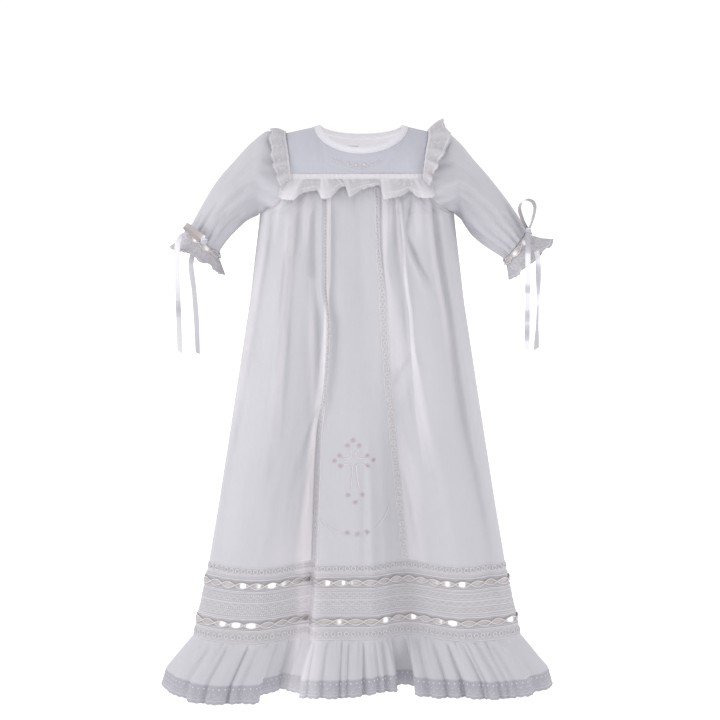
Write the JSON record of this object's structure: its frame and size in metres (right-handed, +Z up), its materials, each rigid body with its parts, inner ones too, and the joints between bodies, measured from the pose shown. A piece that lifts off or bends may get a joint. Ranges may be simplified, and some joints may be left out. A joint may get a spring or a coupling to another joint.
{
  "type": "christening gown",
  "caption": "Long white cotton christening gown, filled out and empty, with a yoke, puffed sleeves, lace insertion, ribbon-threaded band, flounce and lace hem.",
  "frame": {"origin": "at the neck, just above the shoulder seams, midway between the shoulder points, where the wearer holds the gown up", "axes": "+Z up towards the neck, the front faces -Y, +X to the wearer's left"},
  "size_m": [0.577, 0.2077, 0.8243],
  "materials": {
    "cotton": "matte cotton lawn",
    "lace": "matte cotton lace and net",
    "satin": "satin ribbon",
    "pearl": "pearl buttons"
  },
  "bodies": {
    "root": {"front_yoke": "cotton", "back_yoke_left": "cotton", "back_yoke_right": "cotton", "back_placket": "cotton", "neck_binding": "cotton", "side_front_right": "cotton", "centre_front_panel": "cotton", "side_front_left": "cotton", "back_skirt": "cotton", "flounce": "cotton", "sleeve_left": "cotton", "sleeve_right": "cotton", "lace_strip_right": "lace", "lace_strip_left": "lace", "insertion_upper": "lace", "beading_upper": "lace", "net_insertion": "lace", "beading_lower": "lace", "insertion_lower": "lace", "hem_lace": "lace", "cuff_beading_left": "lace", "cuff_beading_right": "lace", "cuff_lace_left": "lace", "cuff_lace_right": "lace", "yoke_ruffle": "lace", "shoulder_ruffle_left": "lace", "shoulder_ruffle_right": "lace", "threaded_ribbon_upper": "satin", "threaded_ribbon_lower": "satin", "cuff_ribbon_left": "satin", "cuff_ribbon_right": "satin", "bow_left_loop": "satin", "bow_right_loop": "satin", "bow_left_knot": "satin", "bow_right_knot": "satin", "tail_left_inner": "satin", "tail_left_outer": "satin", "tail_right_inner": "satin", "tail_right_outer": "satin", "back_button_upper": "pearl", "back_button_lower": "pearl"}
  },
  "joints": []
}
